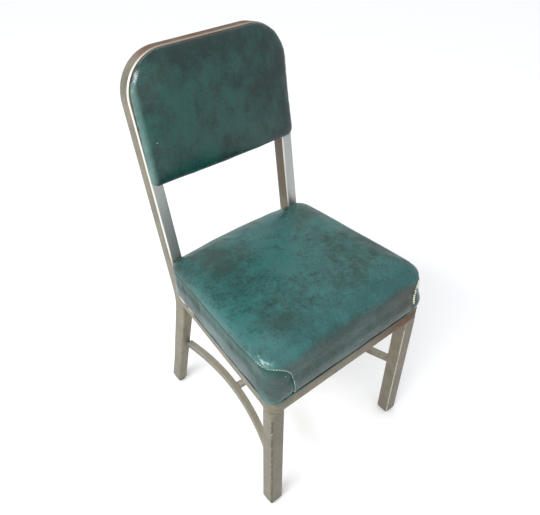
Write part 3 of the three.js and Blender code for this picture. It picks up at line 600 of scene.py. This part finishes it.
# Seat cushion: sheet over thick padding. Its top panel runs over the front edge down to the
# rail. Each side panel turns the front corner and is stitched to it along a raised seam.
def seat_wear_and_painted_light(tree, place, smudges, colour, sheen):
    """Wear and painted light on the seat: grey front and sides, dark and pale along the seams."""
    axes = add_node(tree, "SeparateXYZ", {"Vector": place})
    gap = add_node(tree, "Attribute", attribute_name="seam_gap").outputs["Fac"]

    # Wiping has streaked the soiling of the front and sides: 40 mm long, 4 mm high.
    wiped = add_node(tree, "Mapping", {
        "Vector": place, "Scale": (1 / (40 * mm), 1 / (40 * mm), 1 / (4 * mm))})
    wiped = add_node(tree, "TexNoise", {
        "Vector": wiped, "Scale": 1.0, "Detail": 6.0, "Roughness": 0.7})
    wiped = add_node(tree, "MapRange", {
        "Value": wiped, "From Min": 0.35, "From Max": 0.65, "To Min": 0.55,
        "To Max": 1.1}, clamp=False)

    # The front face is dull grey, partly soiling and partly painted shade, browner to the right.
    # Its upper limit waves, and falls there.
    face = add_node(tree, "MapRange", {
        "Value": axes.outputs["Y"], "From Min": -0.226, "From Max": -0.238})
    fall = add_node(tree, "MapRange", {
        "Value": axes.outputs["X"], "From Min": 0.02, "From Max": 0.18})
    fall = add_node(tree, "Math", {0: fall, 1: fall}, operation="MULTIPLY")
    level = add_node(tree, "Math", {
        0: smudges, 1: 0.04, 2: axes.outputs["Z"]}, operation="MULTIPLY_ADD")
    level = add_node(tree, "Math", {0: fall, 1: 0.013, 2: level}, operation="MULTIPLY_ADD")
    under = add_node(tree, "MapRange", {"Value": level, "From Min": 0.504, "From Max": 0.482})
    front = add_node(tree, "Math", {0: face, 1: under}, operation="MULTIPLY")
    greys = add_node(tree, "Mix", {
        "Factor": fall, "A": linear("#48524f"), "B": linear("#564e49")}, data_type="RGBA")
    shares = add_node(tree, "MapRange", {
        "Value": smudges, "From Min": 0.3, "From Max": 0.7, "To Min": 0.7, "To Max": 1.0})
    front = add_node(tree, "Math", {0: front, 1: shares}, operation="MULTIPLY")
    front = add_node(tree, "Math", {0: front, 1: wiped}, operation="MULTIPLY", use_clamp=True)
    # Above that limit the front edge is painted a little lighter and bluer: a painted sheen.
    over = add_node(tree, "MapRange", {"Value": level, "From Min": 0.488, "From Max": 0.498})
    below = add_node(tree, "MapRange", {
        "Value": axes.outputs["Y"], "From Min": -0.165, "From Max": -0.225})
    painted_rim_sheen = add_node(tree, "Math", {0: over, 1: below}, operation="MULTIPLY")
    painted_rim_sheen = add_node(tree, "Math", {0: painted_rim_sheen, 1: 0.35}, operation="MULTIPLY")

    # Side panels: grey green, with a dark green band of painted shade, 5 to 12 mm, under the seam.
    side = add_node(tree, "MapRange", {"Value": gap, "From Min": -1.0, "From Max": -4.0})
    rest = add_node(tree, "MapRange", {
        "Value": smudges, "From Min": 0.3, "From Max": 0.7, "To Min": 0.45, "To Max": 1.0})
    greyed = add_node(tree, "Math", {0: side, 1: rest}, operation="MULTIPLY")
    greyed = add_node(tree, "Math", {0: greyed, 1: wiped}, operation="MULTIPLY", use_clamp=True)
    depth = add_node(tree, "Math", {0: smudges, 1: 24.0, 2: gap}, operation="MULTIPLY_ADD")
    painted_shade_band = add_node(tree, "MapRange", {"Value": depth, "From Min": -6.0, "From Max": 3.0})
    painted_shade_band = add_node(tree, "Math", {0: painted_shade_band, 1: side}, operation="MULTIPLY")
    painted_shade_band = add_node(tree, "Math", {0: painted_shade_band, 1: 0.7}, operation="MULTIPLY")
    for mask, tint in ((front, greys), (painted_rim_sheen, linear("#2f6a6a")), (greyed, linear("#36413f")),
                       (painted_shade_band, linear("#1d4a40"))):
        colour = add_node(tree, "Mix", {"Factor": mask, "A": colour, "B": tint}, data_type="RGBA")
    # The greyed front and sides are matt.
    matt = add_node(tree, "Math", {0: front, 1: greyed}, operation="MAXIMUM")
    sheen = add_node(tree, "Math", {
        0: matt, 1: -0.4, 2: sheen}, operation="MULTIPLY_ADD", use_clamp=True)
    colour = seam_lines(tree, place, gap, colour)
    # Painted shade darkens the right edge along the fold behind its corner.
    far = add_node(tree, "MapRange", {
        "Value": axes.outputs["X"], "From Min": 0.192, "From Max": 0.202, "To Max": 0.75})
    behind = add_node(tree, "MapRange", {
        "Value": axes.outputs["Y"], "From Min": -0.225, "From Max": -0.2})
    far = add_node(tree, "Math", {0: far, 1: behind}, operation="MULTIPLY")
    colour = add_node(tree, "Mix", {
        "Factor": far, "A": colour, "B": linear("#12312e")}, data_type="RGBA")
    return colour, sheen


def seam_lines(tree, place, gap, colour):
    """A pale line on the fold's crest, about 1 mm wide, part wear and part painted highlight, over
    a dark line of painted shade in the groove. Both are drawn from the distance to the seam in
    millimetres, which the mesh keeps."""
    groove_shade = add_node(tree, "MapRange", {"Value": gap, "From Min": -4.5, "From Max": -2.0})
    ends = add_node(tree, "MapRange", {
        "Value": gap, "From Min": 0.2, "From Max": -0.6, "To Max": 0.7})
    groove_shade = add_node(tree, "Math", {0: groove_shade, 1: ends}, operation="MULTIPLY")
    broken = add_node(tree, "TexNoise", {"Vector": place, "Scale": 1 / (20 * mm), "Detail": 3.0})
    broken = add_node(tree, "MapRange", {
        "Value": broken, "From Min": 0.4, "From Max": 0.6, "To Min": 0.25, "To Max": 0.85})
    crest = add_node(tree, "MapRange", {"Value": gap, "From Min": 0.0, "From Max": 0.5})
    ends = add_node(tree, "MapRange", {"Value": gap, "From Min": 1.7, "From Max": 1.0})
    crest = add_node(tree, "Math", {0: crest, 1: ends}, operation="MULTIPLY")
    crest = add_node(tree, "Math", {0: crest, 1: broken}, operation="MULTIPLY")
    for mask, tint in ((groove_shade, "#15302b"), (crest, "#7a9f98")):
        colour = add_node(tree, "Mix", {
            "Factor": mask, "A": colour, "B": linear(tint)}, data_type="RGBA")
    return colour


seat_vinyl = leathercloth(
    "green_leathercloth_seat", "#285e59", "#25433e", clean_spot=(0.04, 0.0, 0.48),
    shiny_spot=(-0.185, -0.2, 0.48), wear_and_light=seat_wear_and_painted_light)
# The cushion's lowest 14 mm are held by the welt and the rails.
held_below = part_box("seat_cushion")[0].z + 14 * mm
cushion = swollen_copy("seat_cushion_cover", "seat_cushion", voxel=5 * mm, pressure=4.0,
                       cap=3 * mm, pinned=lambda co: co[2] < held_below)


def smooth_route(stops, count):
    """Evenly shared points on a smooth curve through the stops."""
    points = []
    for i in range(count):
        t = i / (count - 1) * (len(stops) - 1)
        k = min(int(t), len(stops) - 2)
        f = t - k
        a, b, c, d = (Vector(stops[clamp(j, 0, len(stops) - 1)]) for j in range(k - 1, k + 3))
        points.append(b + (c - a) * f / 2 + (a * 2 - b * 5 + c * 4 - d) * f * f / 2
                      + (b * 3 - a - c * 3 + d) * f ** 3 / 2)
    return points


# Aim points of each side seam, from the rear, round the front corner and down the front face.
seam_stops = {
    -1: [(-0.19, 0.118, 0.4605), (-0.196, 0.066, 0.4605), (-0.2, 0.0, 0.4625),
         (-0.207, -0.08, 0.4625), (-0.211, -0.15, 0.466), (-0.213, -0.2, 0.471),
         (-0.209, -0.225, 0.4715), (-0.191, -0.2415, 0.4695), (-0.178, -0.246, 0.461),
         (-0.1685, -0.248, 0.448), (-0.165, -0.249, 0.432), (-0.163, -0.249, 0.41),
         (-0.16, -0.249, 0.386)],
    1: [(0.19, 0.118, 0.4605), (0.196, 0.066, 0.4605), (0.2, 0.0, 0.4625),
        (0.207, -0.08, 0.463), (0.211, -0.15, 0.466), (0.212, -0.2, 0.4705),
        (0.206, -0.227, 0.471), (0.194, -0.24, 0.468), (0.184, -0.247, 0.46),
        (0.177, -0.25, 0.446), (0.174, -0.251, 0.426), (0.1745, -0.251, 0.405),
        (0.178, -0.25, 0.386)],
}


def path_on(surface, stops, count):
    """Points and normals, on a mesh's surface, of a smooth route past the stops."""
    faces = BVHTree.FromPolygons([v.co for v in surface.vertices],
                                 [p.vertices for p in surface.polygons])
    found = [faces.find_nearest(point) for point in smooth_route(stops, count)]
    return [f[0] for f in found], [f[1] for f in found]


def near_path(coords, path, path_normals, side):
    """Signed distance to the path, over 0 on the top panel's side, and the run along it."""
    gap = np.full(len(coords), 1.0)
    sign = np.ones(len(coords))
    run = np.zeros(len(coords))
    done = 0.0
    for start, end, normal in zip(path[:-1], path[1:], path_normals[:-1]):
        along = np.array(end - start)
        length = np.linalg.norm(along)
        if length < 1e-6:
            continue
        upward = np.cross(np.array(normal), along / length) * -side
        offset = coords - np.array(start)
        share = np.clip(offset @ along / length ** 2, 0, 1)
        far = offset - share[:, None] * along
        distance = np.linalg.norm(far, axis=1)
        closer = distance < gap
        gap[closer] = distance[closer]
        sign[closer] = np.where(far[closer] @ upward >= 0, 1.0, -1.0)
        run[closer] = done + share[closer] * length
        done += length
    return gap, sign, run


def bell(value, middle, reach):
    return np.exp(-((value - middle) / reach) ** 2)


seams = {side: path_on(cushion.data, stops, 130) for side, stops in seam_stops.items()}
coords = np.array([v.co for v in cushion.data.vertices])
normals = np.array([v.normal for v in cushion.data.vertices])
seam_gap = np.full(len(coords), 0.1)
seam_run = np.zeros(len(coords))
for side, (path, path_normals) in seams.items():
    gap, sign, run = near_path(coords, path, path_normals, side)
    closer = gap < np.abs(seam_gap)
    seam_gap[closer] = (gap * sign)[closer]
    seam_run[closer] = run[closer]
# Behind the posts the seam goes on round the rear at one height.
_, rear_y, rear_z = seam_stops[1][0]
rear = coords[:, 1] > rear_y
seam_gap[rear] = coords[rear, 2] - rear_z
# The fold stands 1.3 mm proud over the seam, and the groove under it is 1.8 mm deep.
fold = 1.3 * mm * bell(seam_gap, 2.2 * mm, 2.6 * mm)
fold -= 1.8 * mm * bell(seam_gap, -2.8 * mm, 3.2 * mm)
for i, v in enumerate(cushion.data.vertices):
    co, gap = Vector(coords[i]), seam_gap[i]
    wobble = noise.noise(co * 40.0)
    push = noise.noise(co * 11.0) * 1.2 * mm + noise.noise(co * 31.0 + Vector((3, 1, 7))) * 0.5 * mm
    # Puckers of 9 mm, square to the seam, gather where it turns the front corner.
    near = bell(gap, 9 * mm, 6 * mm) * clamp((-co.y - 0.1) / 0.08)
    push += 0.2 * mm * near * math.sin(seam_run[i] / (9 * mm) * 2 * math.pi + 5 * wobble)
    # Small waves of 11 mm run along the top panel's front edge.
    edge = bell(co.z, 0.478, 0.007) * (co.y < -0.2) * (gap > 0)
    push += 0.25 * mm * edge * math.sin(co.x / (11 * mm) * 2 * math.pi + 6 * wobble)
    # The right panel has pulled off its thread at the corner and puffs out below it.
    if co.x > 0.17:
        puff = bell(co.z, 0.406, 0.013) * bell(co.y, -0.235, 0.035)
        pinch = bell(co.z, 0.436, 0.012) * bell(co.y, -0.24, 0.03)
        push += 2.6 * mm * puff - 1.6 * mm * pinch
    v.co = co + Vector(normals[i]) * (fold[i] + push * (co.z > held_below))
set_attribute(cushion.data, "seam_gap", seam_gap / mm)
cushion.data.materials.clear()
cushion.data.materials.append(seat_vinyl)
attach(cushion, "root")
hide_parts("seat_cushion")


# Seam thread: twisted cotton, dull, and cream where the dirt has rubbed off. On the left it
# shows as short stitches round the corner. On the right it has frayed to a thick zigzag, which
# lies over the fold on the top panel's side.
thread_cotton, tree = new_material("cream_cotton_thread")
place = add_node(tree, "TexCoord").outputs["Object"]
wear = add_node(tree, "TexNoise", {
    "Vector": place, "Scale": 1 / (9 * mm), "Detail": 4.0, "Roughness": 0.7})
wear = add_node(tree, "MapRange", {"Value": wear, "From Min": 0.4, "From Max": 0.48})
tone = add_node(tree, "Mix", {
    "Factor": wear, "A": linear("#5d7a70"), "B": linear("#e6e2c9")}, data_type="RGBA")
twist = add_node(tree, "TexNoise", {"Vector": place, "Scale": 1 / (0.7 * mm)})
bump = add_node(tree, "Bump", {"Height": twist, "Strength": 0.5, "Distance": 0.2 * mm})
shader = add_node(tree, "BsdfPrincipled", {"Base Color": tone, "Roughness": 0.85, "Normal": bump})
add_node(tree, "OutputMaterial", {"Surface": shader})

# Shares of the seam's length between which it shows; the stitches' pitch, length, thickness and
# slant in radians; how far they lie above the seam and beside it.
for side, name, first, last, pitch, length, thick, slant, lift, shift in (
    (-1, "left", 0.69, 1.0, 5.4 * mm, 3.4 * mm, 0.8 * mm, 0.2, 0.5 * mm, 0.0),
    (1, "right", 0.82, 0.94, 2.6 * mm, 8 * mm, 2.2 * mm, 1.0, 1.4 * mm, 1.2 * mm),
):
    path, path_normals = seams[side]
    total = sum((b - a).length for a, b in zip(path[:-1], path[1:]))
    bm = bmesh.new()
    run, due = 0.0, first * total
    for start, end, normal in zip(path[:-1], path[1:], path_normals[:-1]):
        along = end - start
        while due <= min(run + along.length, last * total):
            across = normal.cross(along).normalized()
            spot = start + along * ((due - run) / along.length) + normal * lift - across * shift
            facing = Matrix((along.normalized(), across, normal)).transposed().to_4x4()
            shape = (Matrix.Rotation(slant, 4, "Z")
                     @ Matrix.Diagonal((length / 2, thick / 2, thick / 2, 1)))
            bmesh.ops.create_icosphere(bm, subdivisions=2, radius=1.0,
                                       matrix=Matrix.Translation(spot) @ facing @ shape)
            slant = -slant
            due += pitch
        run += along.length
    thread = finish_piece(f"seam_thread_{name}", bm, thread_cotton, "vinyl")
    smooth_by_angle(thread.data, 80)


# Welt: the same cloth sewn round a cord, along the cushion's lower edge from post to post. Its
# crest has a pale painted highlight at the front left corner, is rubbed pale at the front right
# one, and to the cream backing near the left post.
def welt_wear_and_highlight(tree, place, smudges, colour, sheen):
    axes = add_node(tree, "SeparateXYZ", {"Vector": place})
    crest = add_node(tree, "MapRange", {
        "Value": axes.outputs["Z"], "From Min": 0.3805, "From Max": 0.382})
    torn = add_node(tree, "MapRange", {"Value": smudges, "From Min": 0.42, "From Max": 0.5})
    # Front left: a painted highlight on the crest. Near the left post and at the front right: wear.
    for spot, reach, wear_and_highlight_colour in (((-0.2, -0.235, 0.38), 0.05, "#417972"),
                                     ((-0.198, 0.085, 0.38), 0.045, "#cfcbb6"),
                                     ((0.2, -0.235, 0.38), 0.04, "#7fa39c")):
        gap = add_node(tree, "VectorMath", {0: place, 1: spot}, operation="DISTANCE")
        near = add_node(tree, "MapRange", {"Value": gap, "From Min": reach, "From Max": reach / 2})
        wear_and_highlight = add_node(tree, "Math", {0: near, 1: crest}, operation="MULTIPLY")
        wear_and_highlight = add_node(tree, "Math", {0: wear_and_highlight, 1: torn}, operation="MULTIPLY")
        colour = add_node(tree, "Mix", {
            "Factor": wear_and_highlight, "A": colour, "B": linear(wear_and_highlight_colour)}, data_type="RGBA")
    return colour, sheen


welt_vinyl = leathercloth("green_leathercloth_welt", "#1a433f", "#152e2b", wear_and_light=welt_wear_and_highlight)
welt = finish_piece("seat_welt_cord", merged_copy("seat_welt"), welt_vinyl, "welt_vinyl",
                    "seat_welt")
smooth_by_angle(welt.data, 60)


# Back pad: padding over a thin board, the cloth drawn round its edge and tacked behind. The
# fold along its top edge shows as a crease, with painted shade under it and a pale line on it,
# part wear and part painted highlight. Dirt has run down it in upright smudges, and its left
# edge is paler, partly wear and partly painted light from the left.
def back_wear_and_painted_light(tree, place, smudges, colour, sheen):
    axes = add_node(tree, "SeparateXYZ", {"Vector": place})
    gap = add_node(tree, "Attribute", attribute_name="seam_gap").outputs["Fac"]
    # Left edge paler: partly wear, partly painted light from the left.
    edge = add_node(tree, "MapRange", {
        "Value": axes.outputs["X"], "From Min": -0.171, "From Max": -0.18})
    share = add_node(tree, "MapRange", {
        "Value": smudges, "From Min": 0.3, "From Max": 0.6, "To Min": 0.5, "To Max": 0.9})
    edge = add_node(tree, "Math", {0: edge, 1: share}, operation="MULTIPLY")
    # Painted shade under the crease.
    crease_shade = add_node(tree, "MapRange", {
        "Value": gap, "From Min": -1.0, "From Max": -3.0, "To Max": 0.8})
    for mask, tint in ((edge, "#54736c"), (crease_shade, "#14332d")):
        colour = add_node(tree, "Mix", {
            "Factor": mask, "A": colour, "B": linear(tint)}, data_type="RGBA")
    return seam_lines(tree, place, gap, colour), sheen


back_vinyl = leathercloth(
    "green_leathercloth_back", "#11433d", "#1c2f2e", 0.03, clean_spot=(-0.1, 0.18, 0.7),
    shiny_spot=(-0.165, 0.19, 0.84), stretch=(1.2, 1.0, 0.85), wear_and_light=back_wear_and_painted_light)
pad = swollen_copy("back_pad_cover", "back_pad", voxel=4 * mm, pressure=3.0, cap=2 * mm,
                   pinned=lambda co: False)
crease_stops = [(-0.168, 0.205, 0.858), (-0.155, 0.206, 0.872), (-0.128, 0.208, 0.8845),
                (-0.1, 0.209, 0.888), (-0.05, 0.21, 0.888), (0.0, 0.21, 0.887), (0.05, 0.21, 0.886)]
path, path_normals = path_on(pad.data, crease_stops, 80)
coords = np.array([v.co for v in pad.data.vertices])
normals = np.array([v.normal for v in pad.data.vertices])
gap, sign, _ = near_path(coords, path, path_normals, 1)
# Past 30 mm the crease has no effect.
crease_gap = np.where(gap < 0.03, gap * sign, 0.03)
fold = 0.5 * mm * bell(crease_gap, 1.5 * mm, 2 * mm)
fold -= 0.9 * mm * bell(crease_gap, -2 * mm, 2.5 * mm)
for i, v in enumerate(pad.data.vertices):
    co = Vector(coords[i])
    slow = noise.noise(co * 13.0) * 0.9 * mm + noise.noise(co * 33.0) * 0.3 * mm
    v.co = co + Vector(normals[i]) * (fold[i] + slow * (abs(co.x) < 0.178))
    # The top edge is padded up to the bow's upper edge. The pad is 1.3 mm wider on each side
    # than its solid and sits 1.4 mm to the left.
    v.co.z += 3.5 * mm * clamp((co.z - 0.80) / 0.07)
    v.co.x += 1.3 * mm * (co.x / 0.18) - 1.4 * mm
set_attribute(pad.data, "seam_gap", crease_gap / mm)
pad.data.materials.clear()
pad.data.materials.append(back_vinyl)
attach(pad, "root")
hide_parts("back_pad")


# Boards: the back board is wrapped in the same cloth. The seat board is bare birch plywood,
# sanded, pale and softly streaked, its face grain running across the chair.
board_vinyl = leathercloth("green_leathercloth_board", "#11433d", "#1c2f2e")
plywood, tree = new_material("birch_plywood")
place = add_node(tree, "TexCoord").outputs["Object"]
grain = add_node(tree, "Mapping", {
    "Vector": place, "Scale": (1 / (90 * mm), 1 / (3 * mm), 1 / (2 * mm))})
grain = add_node(tree, "TexNoise", {"Vector": grain, "Scale": 1.0, "Detail": 5.0, "Roughness": 0.6})
figure = add_node(tree, "MapRange", {"Value": grain, "From Min": 0.3, "From Max": 0.7})
tone = add_node(tree, "Mix", {
    "Factor": figure, "A": linear("#c4b08c"), "B": linear("#e2d2b2")}, data_type="RGBA")
bump = add_node(tree, "Bump", {"Height": grain, "Strength": 0.3, "Distance": 0.3 * mm})
shader = add_node(tree, "BsdfPrincipled", {"Base Color": tone, "Roughness": 0.75, "Normal": bump})
add_node(tree, "OutputMaterial", {"Surface": shader})
dress(["back_board"], board_vinyl)
dress(["seat_board"], plywood)


# Screws: zinc plated steel pan heads, through the brackets into the seat board and through
# the hoop into the back board. The plating has gone dull and spotted.
zinc, tree = new_material("dull_zinc_plate")
place = add_node(tree, "TexCoord").outputs["Object"]
bloom = add_node(tree, "TexNoise", {
    "Vector": place, "Scale": 1 / (2.5 * mm), "Detail": 4.0, "Roughness": 0.65})
tone = add_node(tree, "Mix", {
    "Factor": bloom, "A": linear("#8d8c86"), "B": linear("#c8c8c4")}, data_type="RGBA")
gloss = add_node(tree, "MapRange", {"Value": bloom, "To Min": 0.25, "To Max": 0.6})
shader = add_node(tree, "BsdfPrincipled", {"Base Color": tone, "Metallic": 1.0, "Roughness": gloss})
add_node(tree, "OutputMaterial", {"Surface": shader})
dress([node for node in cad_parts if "screw" in node], zinc)
